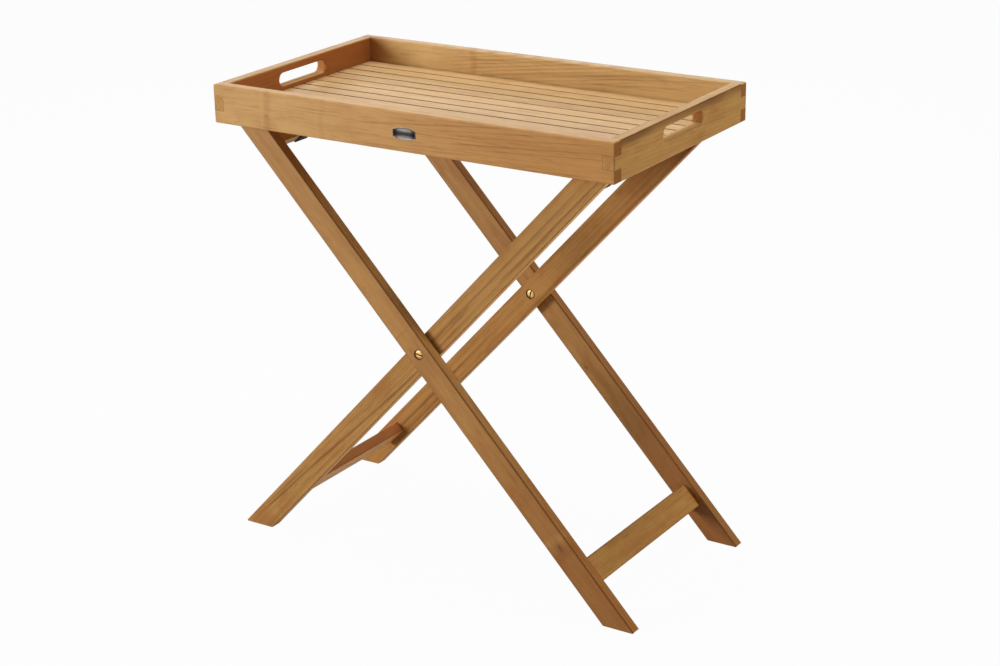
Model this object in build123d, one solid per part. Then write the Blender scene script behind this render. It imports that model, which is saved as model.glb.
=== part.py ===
"""Folding tray table in hardwood: a lift-off tray with finger-jointed corners on a strapped X stand."""
from build123d import *

import math
import os

# Frame: X along the tray, Y across it with the front at -Y, Z up, origin on the floor below the middle

# Tray sizes in millimetres
TRAY_LENGTH = 700.0
TRAY_WIDTH = 400.0
TABLE_HEIGHT = 750.0
RAIL_HEIGHT = 60.0
RAIL_THICKNESS = 18.0
RAIL_OUTER_ROUND = 2.5
RAIL_INNER_ROUND = 2.0
FINGER_COUNT = 3

# Tray floor
FLOOR_DEPTH = 39.5
SLAT_COUNT = 12
SLAT_THICKNESS = 10.0
SLAT_GAP = 3.6
SLAT_ROUND = 0.6
TONGUE_THICKNESS = 5.0
TONGUE_LENGTH = 5.0
TONGUE_END_PLAY = 0.5

# Battens across the underside of the slats
BATTEN_WIDTH = 30.0
BATTEN_THICKNESS = 6.0
BATTEN_SPACING = 240.0
BATTEN_CHAMFER = 1.5

# Hand slots through the end rails
SLOT_LENGTH = 120.0
SLOT_HEIGHT = 21.0
SLOT_BELOW_RIM = 22.3
SLOT_EDGE_ROUND = 2.0

# Blank barrel-shaped plate let into the front rail
PLATE_LENGTH = 40.5
PLATE_HEIGHT = 19.0
PLATE_END_HEIGHT = 11.0
PLATE_ABOVE_BOTTOM = 27.5
PLATE_ASIDE = 2.5
PLATE_THICKNESS = 1.6
PLATE_PROUD = 0.4
PLATE_EDGE_CHAMFER = 0.3

# Stand legs and cross rails
LEG_WIDTH = 40.0
LEG_THICKNESS = 18.0
LEG_EASE = 2.0
TIP_RADIUS = 5.0
TOE_RADIUS = 1.5
HEEL_RADIUS = 6.0
PIVOT_HEIGHT = 370.0
CROSS_WIDTH = 42.0
CROSS_THICKNESS = 18.0
CROSS_EASE = 1.5
TENON_WIDTH = 30.0
TENON_THICKNESS = 10.0
TENON_LENGTH = 10.0
FOOT_TO_STRETCHER = 71.0

# Play between the tray and the stand
SEAT_GAP = 0.3
TIP_PLAY = 3.2
SIDE_PLAY = 4.0

# Pivot bolts: a sleeve nut in each outer leg takes a screw through each inner leg
HEAD_DIAMETER = 13.0
HEAD_HEIGHT = 2.6
HEAD_TOP_DIAMETER = 8.0
HEAD_BEVEL = 0.8
HEAD_RECESS_DIAMETER = 16.0
HEAD_RECESS_DEPTH = 3.0
SLEEVE_DIAMETER = 9.0
BOLT_DIAMETER = 6.0
BOLT_LENGTH = 20.0
RUNNING_CLEARANCE = 0.05
SLEEVE_PROUD = 0.15
DRIVER_SLOT_WIDTH = 1.6
DRIVER_SLOT_DEPTH = 1.3
OUTER_SLOT_TURN = -8.0
INNER_SLOT_TURN = 78.0
WASHER_DIAMETER = 18.0
WASHER_THICKNESS = 1.0

# Webbing straps that stop the stand from spreading
STRAP_WIDTH = 30.0
STRAP_THICKNESS = 1.6
STRAP_CLEARANCE = 0.3
STRAP_INSET = 35.0
STRAP_HEADROOM = 1.0

# Fold stop: legs of the inner frame come to rest on the cross rails of the outer frame
FOLD_STOP_GAP = 0.5

# Worked out from the sizes above
INNER_LENGTH = TRAY_LENGTH - 2 * RAIL_THICKNESS
INNER_WIDTH = TRAY_WIDTH - 2 * RAIL_THICKNESS
RAIL_BOTTOM = TABLE_HEIGHT - RAIL_HEIGHT
FLOOR_TOP = TABLE_HEIGHT - FLOOR_DEPTH
FLOOR_BOTTOM = FLOOR_TOP - SLAT_THICKNESS
FLOOR_MIDDLE = FLOOR_TOP - SLAT_THICKNESS / 2
SLAT_PITCH = INNER_WIDTH / SLAT_COUNT
SLAT_WIDTH = SLAT_PITCH - SLAT_GAP
FINGER_HEIGHT = RAIL_HEIGHT / FINGER_COUNT

LEG_TOP = FLOOR_BOTTOM - SEAT_GAP
OUTER_FACE = INNER_WIDTH / 2 - SIDE_PLAY
OUTER_INSIDE = OUTER_FACE - LEG_THICKNESS
INNER_FACE = OUTER_INSIDE - WASHER_THICKNESS
INNER_INSIDE = INNER_FACE - LEG_THICKNESS


def leg_lean():
    """Angle of the legs from upright that brings each rounded leg tip close to its end rail."""
    rise = LEG_TOP - PIVOT_HEIGHT - TIP_RADIUS
    reach = INNER_LENGTH / 2 - TIP_PLAY - TIP_RADIUS
    half = LEG_WIDTH / 2 - TIP_RADIUS
    return math.acos(half / math.hypot(reach, rise)) - math.atan2(rise, reach)


LEAN = leg_lean()
FOOT_STATION = PIVOT_HEIGHT / math.cos(LEAN) - FOOT_TO_STRETCHER - CROSS_WIDTH / 2


def top_station():
    """Distance from the pivot to a top rail that lets the straps pass below the battens."""
    strap_bottom = FLOOR_BOTTOM - BATTEN_THICKNESS - STRAP_HEADROOM - STRAP_THICKNESS
    corner = strap_bottom - STRAP_CLEARANCE - PIVOT_HEIGHT
    return (corner - CROSS_THICKNESS / 2 * math.sin(LEAN)) / math.cos(LEAN) - CROSS_WIDTH / 2


TOP_STATION = top_station()


def fold_range():
    """Degrees that the inner frame turns before its legs reach the outer frame's cross rails."""
    near_edge = min(TOP_STATION, FOOT_STATION) - CROSS_WIDTH / 2
    half_board = CROSS_THICKNESS / 2
    apart = LEG_WIDTH / 2 + FOLD_STOP_GAP
    left_over = math.asin(apart / math.hypot(near_edge, half_board)) + math.atan2(half_board, near_edge)
    return math.degrees(2 * LEAN - left_over)


def block(x_size, y_size, z_size, x, y, z):
    """Box with its middle at the given place."""
    return Pos(x, y, z) * Box(x_size, y_size, z_size)


def rail_ring():
    """All four tray rails as one rounded ring, before the finger joints part them."""
    ring = fillet(Box(TRAY_LENGTH, TRAY_WIDTH, RAIL_HEIGHT).edges(), RAIL_OUTER_ROUND)
    ring -= Box(INNER_LENGTH, INNER_WIDTH, RAIL_HEIGHT)
    half = RAIL_HEIGHT / 2
    inside = ring.edges().filter_by_position(Axis.X, -INNER_LENGTH / 2 - 0.1, INNER_LENGTH / 2 + 0.1)
    inside = inside.filter_by_position(Axis.Y, -INNER_WIDTH / 2 - 0.1, INNER_WIDTH / 2 + 0.1)
    rims = inside.filter_by_position(Axis.Z, half - 0.1, half + 0.1)
    rims += inside.filter_by_position(Axis.Z, -half - 0.1, -half + 0.1)
    return Pos(0, 0, RAIL_BOTTOM + half) * fillet(rims, RAIL_INNER_ROUND)


def finger_blocks(x_size, y_size, along_x, odd):
    """Square blocks at both ends of a rail, one for every other finger of its height."""
    blocks = []
    for finger in range(FINGER_COUNT):
        if (finger % 2 == 1) != odd:
            continue
        height = RAIL_BOTTOM + (finger + 0.5) * FINGER_HEIGHT
        for end in (-1, 1):
            x = end * (TRAY_LENGTH - RAIL_THICKNESS) / 2 if along_x else x_size
            y = y_size if along_x else end * (TRAY_WIDTH - RAIL_THICKNESS) / 2
            blocks.append(block(RAIL_THICKNESS, RAIL_THICKNESS, FINGER_HEIGHT, x, y, height))
    return blocks


def long_rail(ring, side):
    """Front (-1) or back (+1) rail, with fingers at the top and bottom of its ends."""
    middle = RAIL_BOTTOM + RAIL_HEIGHT / 2
    y = side * (TRAY_WIDTH - RAIL_THICKNESS) / 2
    blank = block(TRAY_LENGTH, RAIL_THICKNESS, RAIL_HEIGHT, 0, y, middle)
    for notch in finger_blocks(0, y, True, True):
        blank -= notch
    return ring & blank


def hand_slot(side):
    """Round-ended opening through an end rail."""
    middle = (side * TRAY_LENGTH / 2, 0, TABLE_HEIGHT - SLOT_BELOW_RIM)
    face = Plane(origin=middle, x_dir=(0, 1, 0), z_dir=(side, 0, 0))
    return extrude(face * SlotOverall(SLOT_LENGTH, SLOT_HEIGHT), amount=-RAIL_THICKNESS)


def end_rail(ring, side):
    """Left (-1) or right (+1) rail, with a hand slot and a groove for the slats' tongues."""
    middle = RAIL_BOTTOM + RAIL_HEIGHT / 2
    x = side * (TRAY_LENGTH - RAIL_THICKNESS) / 2
    blank = block(RAIL_THICKNESS, TRAY_WIDTH, RAIL_HEIGHT, x, 0, middle)
    for notch in finger_blocks(x, 0, False, False):
        blank -= notch
    rail = (ring & blank) - hand_slot(side)
    slot_middle = TABLE_HEIGHT - SLOT_BELOW_RIM
    half_height = SLOT_HEIGHT / 2 + 0.1
    half_length = SLOT_LENGTH / 2 + 0.1
    near_slot = rail.edges().filter_by_position(Axis.Z, slot_middle - half_height, slot_middle + half_height)
    near_slot = near_slot.filter_by_position(Axis.Y, -half_length, half_length)
    rail = fillet([e for e in near_slot if e.bounding_box().size.X < 0.01], SLOT_EDGE_ROUND)
    groove_x = side * (INNER_LENGTH + TONGUE_LENGTH) / 2
    return rail - block(TONGUE_LENGTH, INNER_WIDTH, TONGUE_THICKNESS, groove_x, 0, FLOOR_MIDDLE)


def slat_middle(index):
    """Y of a floor slat, counted from the front."""
    return -INNER_WIDTH / 2 + (index + 0.5) * SLAT_PITCH


def batten_middles():
    return (-BATTEN_SPACING / 2, BATTEN_SPACING / 2)


def slat(index):
    """One floor board with eased top edges and a tongue at each end."""
    y = slat_middle(index)
    board = block(INNER_LENGTH, SLAT_WIDTH, SLAT_THICKNESS, 0, y, FLOOR_MIDDLE)
    top = board.faces().sort_by(Axis.Z)[-1].edges().filter_by(Axis.X)
    board = fillet(top, SLAT_ROUND)
    tongue = TONGUE_LENGTH - TONGUE_END_PLAY
    for end in (-1, 1):
        x = end * (INNER_LENGTH + tongue) / 2
        board += block(tongue, SLAT_WIDTH, TONGUE_THICKNESS, x, y, FLOOR_MIDDLE)
    return board


def batten(x):
    """Cross board fixed to the underside of every slat."""
    z = FLOOR_BOTTOM - BATTEN_THICKNESS / 2
    board = block(BATTEN_WIDTH, INNER_WIDTH, BATTEN_THICKNESS, x, 0, z)
    low = board.faces().sort_by(Axis.Z)[0].edges().filter_by(Axis.Y)
    return chamfer(low, BATTEN_CHAMFER)


def plate_blank(thickness, y):
    """Plate with straight ends and bowed long edges on the front rail's face, reaching back from y."""
    end, half, bow = PLATE_LENGTH / 2, PLATE_END_HEIGHT / 2, PLATE_HEIGHT / 2
    edges = [ThreePointArc((-end, half), (0, bow), (end, half)), Line((end, half), (end, -half)),
             ThreePointArc((end, -half), (0, -bow), (-end, -half)), Line((-end, -half), (-end, half))]
    middle = (PLATE_ASIDE, y, RAIL_BOTTOM + PLATE_ABOVE_BOTTOM)
    face = Plane(origin=middle, x_dir=(1, 0, 0), z_dir=(0, -1, 0))
    return extrude(face * make_face(edges), amount=-thickness)


def front_plate():
    plate = plate_blank(PLATE_THICKNESS, -TRAY_WIDTH / 2 - PLATE_PROUD)
    return chamfer(plate.faces().sort_by(Axis.Y)[0].edges(), PLATE_EDGE_CHAMFER)


def front_rail(ring):
    pocket = PLATE_THICKNESS - PLATE_PROUD
    return long_rail(ring, -1) - plate_blank(pocket, -TRAY_WIDTH / 2)


def leg_board(lean_side, y_low):
    """Eased board crosscut level at the foot and the top; lean_side +1 puts the foot at +X."""
    half = LEG_WIDTH / 2 / math.cos(LEAN)
    foot = lean_side * PIVOT_HEIGHT * math.tan(LEAN)
    top = -lean_side * (LEG_TOP - PIVOT_HEIGHT) * math.tan(LEAN)
    corners = [(foot - half, 0), (foot + half, 0), (top + half, LEG_TOP), (top - half, LEG_TOP)]
    radii = [HEEL_RADIUS, TOE_RADIUS, HEEL_RADIUS, TIP_RADIUS]
    if lean_side < 0:
        radii = [TOE_RADIUS, HEEL_RADIUS, TIP_RADIUS, HEEL_RADIUS]
    outline = make_face(Polyline(*corners, close=True))
    for (x, z), radius in zip(corners, radii):
        corner = [v for v in outline.vertices() if math.hypot(v.X - x, v.Y - z) < 0.01]
        outline = fillet(corner, radius)
    cut = extrude(Plane.XZ.offset(-y_low) * outline, amount=-LEG_THICKNESS)
    along = Plane(origin=(0, y_low + LEG_THICKNESS / 2, PIVOT_HEIGHT), x_dir=(0, 1, 0),
                  z_dir=(lean_side * math.sin(LEAN), 0, -math.cos(LEAN)))
    section = RectangleRounded(LEG_THICKNESS, LEG_WIDTH, LEG_EASE)
    board = extrude(along * section, amount=TABLE_HEIGHT, both=True)
    return board & cut


def cross_plane(lean_side, station, y):
    """Plane across a cross rail: x down the leg, origin on the leg's middle line."""
    down = (lean_side * math.sin(LEAN), 0, -math.cos(LEAN))
    origin = (down[0] * station, y, PIVOT_HEIGHT + down[2] * station)
    return Plane(origin=origin, x_dir=down, z_dir=(0, 1, 0))


def tenon(lean_side, station, y_low):
    """Stub tenon or its mortise, TENON_LENGTH long in Y from y_low."""
    section = cross_plane(lean_side, station, y_low) * Rectangle(TENON_WIDTH, TENON_THICKNESS)
    return extrude(section, amount=TENON_LENGTH)


def cross_rail(lean_side, station, half_span):
    """Board between the two legs of one frame, with a stub tenon at each end."""
    section = RectangleRounded(CROSS_WIDTH, CROSS_THICKNESS, CROSS_EASE)
    board = extrude(cross_plane(lean_side, station, -half_span) * section, amount=2 * half_span)
    board += tenon(lean_side, station, half_span)
    return board + tenon(lean_side, station, -half_span - TENON_LENGTH)


def turned(radius, y_from, y_to):
    """Round bar on the pivot axis between two Y values."""
    start = Plane(origin=(0, y_from, PIVOT_HEIGHT), z_dir=(0, 1, 0))
    return extrude(start * Circle(radius), amount=y_to - y_from)


def leg(lean_side, y_low, mortise_y, recess_y, bore_radius):
    """Leg with its two mortises, its pivot bore and the recess for a bolt head."""
    board = leg_board(lean_side, y_low)
    for station in (-TOP_STATION, FOOT_STATION):
        board -= tenon(lean_side, station, mortise_y)
    board -= turned(bore_radius, y_low - 1, y_low + LEG_THICKNESS + 1)
    return board - turned(HEAD_RECESS_DIAMETER / 2, *recess_y)


def outer_leg(end):
    """Leg of the outer frame at the front (-1) or back (+1)."""
    y_low = -OUTER_FACE if end < 0 else OUTER_INSIDE
    mortise = -OUTER_INSIDE - TENON_LENGTH if end < 0 else OUTER_INSIDE
    recess = sorted((end * (OUTER_FACE - HEAD_RECESS_DEPTH), end * (OUTER_FACE + 1)))
    return leg(1, y_low, mortise, recess, SLEEVE_DIAMETER / 2 + RUNNING_CLEARANCE)


def inner_leg(end):
    """Leg of the inner frame at the front (-1) or back (+1)."""
    y_low = -INNER_FACE if end < 0 else INNER_INSIDE
    mortise = -INNER_INSIDE - TENON_LENGTH if end < 0 else INNER_INSIDE
    recess = sorted((end * (INNER_INSIDE - 1), end * (INNER_INSIDE + HEAD_RECESS_DEPTH)))
    return leg(-1, y_low, mortise, recess, SLEEVE_DIAMETER / 2 + RUNNING_CLEARANCE)


def bolt_head(shank_end, outward, slot_turn):
    """Low bevelled head with a driver slot, its flat side at y = shank_end."""
    rim = HEAD_HEIGHT - HEAD_BEVEL
    points = [(0, 0), (HEAD_DIAMETER / 2, 0), (HEAD_DIAMETER / 2, rim),
              (HEAD_TOP_DIAMETER / 2, HEAD_HEIGHT), (0, HEAD_HEIGHT)]
    head = revolve(Plane.XZ * make_face(Polyline(*points, close=True)), Axis.Z)
    slot = block(HEAD_DIAMETER + 1, DRIVER_SLOT_WIDTH, 2 * DRIVER_SLOT_DEPTH, 0, 0, HEAD_HEIGHT)
    seat = Plane(origin=(0, shank_end, PIVOT_HEIGHT), x_dir=(1, 0, 0), z_dir=(0, outward, 0))
    return seat * (head - Rot(0, 0, slot_turn) * slot)


def pivot_sleeve(end):
    """Sleeve nut: head outside the outer leg, barrel through both legs."""
    head_seat = end * (OUTER_FACE - HEAD_RECESS_DEPTH)
    barrel_end = end * (INNER_INSIDE + HEAD_RECESS_DEPTH - SLEEVE_PROUD)
    low, high = sorted((head_seat, barrel_end))
    barrel = turned(SLEEVE_DIAMETER / 2, low, high)
    bore = sorted((barrel_end, barrel_end + end * (BOLT_LENGTH + 1)))
    barrel -= turned(BOLT_DIAMETER / 2, *bore)
    return barrel + bolt_head(head_seat, end, OUTER_SLOT_TURN)


def pivot_screw(end):
    """Screw that closes the sleeve from the inner leg's side."""
    head_seat = end * (INNER_INSIDE + HEAD_RECESS_DEPTH - SLEEVE_PROUD)
    low, high = sorted((head_seat, head_seat + end * BOLT_LENGTH))
    shank = turned(BOLT_DIAMETER / 2 - RUNNING_CLEARANCE, low, high)
    return shank + bolt_head(head_seat, -end, INNER_SLOT_TURN)


def pivot_washer(end):
    """Flat ring that keeps the two legs apart."""
    low, high = sorted((end * INNER_FACE, end * OUTER_INSIDE))
    return turned(WASHER_DIAMETER / 2, low, high) - turned(SLEEVE_DIAMETER / 2 + RUNNING_CLEARANCE, low, high)


def strap_wrap(lean_side):
    """Corners of the top rail that one strap end is wrapped round, in X and Z, its highest corner first."""
    down = (lean_side * math.sin(LEAN), -math.cos(LEAN))
    out = (lean_side * math.cos(LEAN), math.sin(LEAN))
    middle = (-down[0] * TOP_STATION, PIVOT_HEIGHT - down[1] * TOP_STATION)
    corners = []
    for along, across in ((-1, 1), (-1, -1), (1, -1), (1, 1)):
        a, b = along * CROSS_WIDTH / 2, across * CROSS_THICKNESS / 2
        corners.append((middle[0] + down[0] * a + out[0] * b, middle[1] + down[1] * a + out[1] * b))
    return corners


def strap(end):
    """Webbing strap stretched between the two top rails and wrapped once round each."""
    profile = None
    for lean_side in (1, -1):
        section = make_face(Polyline(*strap_wrap(lean_side), close=True))
        ring = offset(section, STRAP_CLEARANCE + STRAP_THICKNESS) - offset(section, STRAP_CLEARANCE)
        profile = ring if profile is None else profile + ring
    top_x, top_z = strap_wrap(1)[0]
    span = Rectangle(2 * abs(top_x), STRAP_THICKNESS)
    profile += Pos(0, top_z + STRAP_CLEARANCE + STRAP_THICKNESS / 2) * span
    near = end * (INNER_INSIDE - STRAP_INSET)
    low = min(near, near - end * STRAP_WIDTH)
    return extrude(Plane.XZ.offset(-low) * profile, amount=-STRAP_WIDTH)


def tray_pieces():
    ring = rail_ring()
    pieces = {"front_rail": front_rail(ring), "back_rail": long_rail(ring, 1),
              "left_end_rail": end_rail(ring, -1), "right_end_rail": end_rail(ring, 1),
              "front_plate": front_plate()}
    for index in range(SLAT_COUNT):
        pieces[f"floor_slat_{index + 1:02d}"] = slat(index)
    for name, x in zip(("left_batten", "right_batten"), batten_middles()):
        pieces[name] = batten(x)
    return pieces


def stand_pieces():
    pieces = {"outer_top_rail": cross_rail(1, -TOP_STATION, OUTER_INSIDE),
              "outer_stretcher": cross_rail(1, FOOT_STATION, OUTER_INSIDE),
              "inner_top_rail": cross_rail(-1, -TOP_STATION, INNER_INSIDE),
              "inner_stretcher": cross_rail(-1, FOOT_STATION, INNER_INSIDE)}
    for name, end in (("front", -1), ("back", 1)):
        pieces[f"outer_leg_{name}"] = outer_leg(end)
        pieces[f"inner_leg_{name}"] = inner_leg(end)
        pieces[f"pivot_sleeve_{name}"] = pivot_sleeve(end)
        pieces[f"pivot_screw_{name}"] = pivot_screw(end)
        pieces[f"pivot_washer_{name}"] = pivot_washer(end)
        pieces[f"strap_{name}"] = strap(end)
    return pieces


def main():
    os.makedirs("parts", exist_ok=True)
    pieces = {**tray_pieces(), **stand_pieces()}
    for name, shape in pieces.items():
        export_step(shape, f"parts/{name}.step")
    print(f"{len(pieces)} pieces, lean {math.degrees(LEAN):.2f} degrees, fold {fold_range():.2f} degrees")


if __name__ == "__main__":
    main()
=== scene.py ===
import math
from dataclasses import dataclass

import bmesh
import bpy
from bpy.props import FloatProperty, FloatVectorProperty, IntProperty, PointerProperty
from mathutils import Matrix, Vector


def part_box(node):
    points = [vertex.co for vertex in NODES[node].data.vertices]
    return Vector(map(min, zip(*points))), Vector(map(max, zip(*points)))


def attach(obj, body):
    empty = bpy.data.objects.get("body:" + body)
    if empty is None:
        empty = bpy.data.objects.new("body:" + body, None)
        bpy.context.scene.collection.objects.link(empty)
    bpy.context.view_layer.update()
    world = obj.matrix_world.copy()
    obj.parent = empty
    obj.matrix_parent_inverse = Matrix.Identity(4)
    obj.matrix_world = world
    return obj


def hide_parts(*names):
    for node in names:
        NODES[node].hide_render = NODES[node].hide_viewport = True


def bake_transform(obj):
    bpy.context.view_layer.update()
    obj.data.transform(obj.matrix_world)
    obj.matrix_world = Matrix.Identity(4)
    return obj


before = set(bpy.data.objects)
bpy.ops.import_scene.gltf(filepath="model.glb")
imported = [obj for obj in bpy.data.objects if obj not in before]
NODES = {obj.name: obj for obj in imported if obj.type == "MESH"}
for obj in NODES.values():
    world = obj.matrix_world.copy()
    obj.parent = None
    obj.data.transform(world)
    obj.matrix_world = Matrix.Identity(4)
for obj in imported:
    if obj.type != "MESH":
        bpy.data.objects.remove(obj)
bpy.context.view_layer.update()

bl_info = {
    "name": "Folding tray table",
    "version": (1, 0, 0),
    "blender": (4, 5, 0),
    "location": "3D view > Sidebar > Tray table",
    "description": "Dresses the packed tray table with oiled wood, brass, webbing and small fasteners",
    "category": "Object",
}

# Tray: levels are heights above the floor, and the half sizes of boards are across and through them
TRAY_HALF = (0.350, 0.200)
RAIL_HALF = (0.030, 0.009)
RAIL_LEVEL = 0.720
RAIL_ASIDE, END_ASIDE = 0.191, 0.341
SHOULDERS = (0.3320, 0.1820)
FINGER_HALF = 0.0100
SLAT_COUNT = 12
SLAT_PITCH = 0.091 / 3
SLAT_FIRST = -0.182
SLAT_HALF = (0.013367, 0.005)
SLAT_LEVEL = 0.7055
BATTEN_HALF = (0.015, 0.003)
BATTEN_LEVEL = 0.6975
BATTEN_ASIDE = 0.120

# Stand: stations are distances from the pivot along a leg
LEAN = math.radians(43.0)
PIVOT = Vector((0.0, 0.0, 0.370))
LEG_HALF = (0.020, 0.009)
OUTER_ASIDE, INNER_ASIDE = 0.169, 0.150
TOP_STATION = 0.41034
FOOT_STATION = 0.41391
CROSS_HALF = (0.021, 0.009)
BORE_RING = 0.0079

# Straps: the cut end to the rail's corner, and where the tacks sit from the strap's cut end and edges
STRAP_TAIL = 0.010
TACK_TO_END = 0.007
TACK_TO_EDGE = 0.005

# Soft limits in the wood: how squarely a face looks along an axis, the heights between a hand slot's lower
# edge and the rim, the lengths just past a slot's ends, and the half width of a glue line
FACING = (0.72, 0.95)
BELOW_RIM = (0.020, 0.024)
PAST_SLOT = (0.064, 0.070)
GLUE_LINE = (0.0003, 0.0009)

# Turns that bring a board's grain onto its own X axis
AS_BUILT = (0, 0, 0)
QUARTER_TURN = (0, 0, -math.pi / 2)
OUTER_TURN = (0, LEAN - math.pi / 2, 0)
INNER_TURN = (0, math.pi / 2 - LEAN, 0)

# Place, target, width and height of each lamp
LAMPS = {
    "key": ((-3.3, -4.1, 1.45), (0, 0, 0.5), 1.4, 2.3),
    "top": ((-0.3, 0.2, 3.0), (0, 0, 0.5), 2.2, 2.2),
    "sheen": ((-1.8, 2.7, 1.6), (0, 0, 0.72), 2.2, 1.4),
    "fill": ((3.0, 0.3, 0.55), (0, 0, 0.45), 1.0, 1.0),
}


def srgb(red, green, blue):
    """Colour picked in 0 to 255 steps, as the linear values that Blender's colours hold."""
    linear = []
    for step in (red, green, blue):
        share = step / 255
        linear.append(share / 12.92 if share <= 0.04045 else ((share + 0.055) / 1.055) ** 2.4)
    return tuple(linear)


WHITE = (1.0, 1.0, 1.0)

# Small marks in the wood; the streak colour also paints a band of shade, and the ring round a pivot's head,
# the line along the edges and the gap colour are painted shade
STREAK_AND_SHADE = srgb(98, 55, 23)
FLECK = srgb(112, 68, 32)
KNOT = srgb(104, 58, 28)
PORE = srgb(86, 54, 28)
BORE_PAINTED_SHADE = srgb(70, 40, 16)
END_RING = srgb(96, 54, 10)
EDGE_SHADE = srgb(96, 56, 26)
GAP_SHADE = srgb(116, 64, 20)
GLUE = srgb(66, 40, 20)

# Tarnish, dull steel and dust on the fittings and the straps; painted shade round a pivot head's rim, in its
# driver slot and in the weave's hollows; a painted highlight that pales the plate's field and a painted
# reflection on its dark ends
TARNISH = srgb(158, 112, 56)
HEAD_RIM_SHADE = srgb(92, 62, 30)
SLOT_SHADE = srgb(62, 40, 16)
DULL_STEEL = srgb(120, 116, 108)
PLATE_DARK = srgb(50, 45, 43)
PLATE_PALE = srgb(124, 117, 112)
PLATE_END_REFLECTION = srgb(16, 13, 12)
PLATE_GROOVE = srgb(26, 22, 20)
WEAVE_HOLLOW_SHADE = srgb(14, 14, 14)
DUST = srgb(70, 66, 60)


def colour(name, description, *steps):
    return FloatVectorProperty(name=name, description=description, default=srgb(*steps), subtype="COLOR",
                               size=3, min=0.0, max=1.0)


def length(name, description, default):
    return FloatProperty(name=name, description=description, default=default, unit="LENGTH",
                         min=0.0, precision=4)


def power(name, description, default):
    return FloatProperty(name=name, description=description, default=default, unit="POWER")


class WoodColours(bpy.types.PropertyGroup):
    """Colours of the oiled wood."""

    rail_light: colour("Rail light", "Early wood of the tray rails", 202, 155, 94)
    rail_dark: colour("Rail dark", "Late wood of the tray rails", 164, 112, 56)
    slat_light: colour("Slat light", "Early wood of the floor slats", 206, 167, 113)
    slat_dark: colour("Slat dark", "Late wood of the floor slats", 176, 126, 72)
    leg_light: colour("Leg light", "Early wood of the stand", 184, 134, 74)
    leg_dark: colour("Leg dark", "Late wood of the stand", 144, 94, 44)
    # Heart wood, also the colour of the painted shade bands at the back rail's inner corner and the inner
    # stretcher's ends
    heart_and_shade: colour("Heart wood and shade", "Warm brown of bands and broad patches", 144, 80, 32)
    amber: colour("Amber", "Warm drift of the front rail", 190, 122, 52)
    # Red heart: the red of the slots' sawn ends, and the painted shade on the left end rail's inner face
    red_heart_and_shade: colour("Red heart and shade", "Red of the slots' sawn ends, and painted red shade on the left end rail's inner face", 172, 88, 32)
    # End grain, also the painted shadow of the tray at the top of the inner back leg
    end_grain_and_shadow: colour("End grain and shadow", "Sawn ends that show in the finger joints", 122, 70, 14)
    # Slot lip: painted light, which makes the slots' lower faces paler
    lip: colour("Slot lip", "Lower edge of the hand slots", 236, 190, 124)


class StrapSizes(bpy.types.PropertyGroup):
    """Webbing straps between the two top rails."""

    width: length("Width", "Width of the webbing", 0.030)
    thickness: length("Thickness", "Thickness of the webbing", 0.0016)
    clearance: length("Clearance", "Air between the webbing and the rail", 0.0003)
    inset: length("Inset", "From the middle of the table to the strap's outer edge", 0.106)
    rib: length("Rib", "Distance between the ribs of the weave", 0.0022)
    tacks: IntProperty(name="Tacks", description="Tacks in each strap end", default=3, min=2, max=6)
    tack: length("Tack head", "Diameter of a tack's head", 0.0056)
    yarn: colour("Yarn", "Colour of the webbing", 20, 19, 19)


class FittingSizes(bpy.types.PropertyGroup):
    """Small metal fittings."""

    screw: length("Screw head", "Diameter of a batten screw's head", 0.0072)
    plate_rim: length("Plate rim", "Width of the raised rim of the front plate", 0.0011)
    plate_end: length("Plate end", "Height of the front plate's straight ends", 0.011)
    brass: colour("Brass", "Colour of the pivot fittings", 226, 186, 128)
    steel: colour("Steel", "Colour of the screws and tacks", 176, 174, 168)
    pewter: colour("Pewter", "Colour of the blank plate's rim", 108, 101, 96)


class StageSettings(bpy.types.PropertyGroup):
    """Floor and lamps."""

    floor: colour("Floor", "Colour of the floor and the background", 255, 255, 255)
    key: power("Key", "Power of the tall lamp at the front left", 212.0)
    top: power("Top", "Power of the lamp overhead", 62.0)
    sheen: power("Sheen", "Power of the lamp behind", 22.0)
    fill: power("Fill", "Power of the lamp at the right", 46.0)
    sky: FloatProperty(name="Sky", description="Level of the even light all round", default=0.12)


def forward(operation):
    """Method for an operator with the wire on its left."""
    return lambda self, other: self.maths(operation, self, other)


def reflected(operation):
    """Method for an operator with the wire on its right."""
    return lambda self, other: self.maths(operation, other, self)


class Wire:
    """A socket in a shader tree. Sums on wires add Math nodes."""

    def __init__(self, paint, socket):
        self.paint = paint
        self.socket = socket

    def maths(self, operation, left, right):
        return self.paint.node("ShaderNodeMath", {"operation": operation}, {0: left, 1: right})

    __add__, __radd__ = forward("ADD"), reflected("ADD")
    __sub__, __rsub__ = forward("SUBTRACT"), reflected("SUBTRACT")
    __mul__, __rmul__ = forward("MULTIPLY"), reflected("MULTIPLY")
    __truediv__, __rtruediv__ = forward("DIVIDE"), reflected("DIVIDE")
    __pow__ = forward("POWER")

    def __abs__(self):
        return self.maths("ABSOLUTE", self, 0.0)


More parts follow.
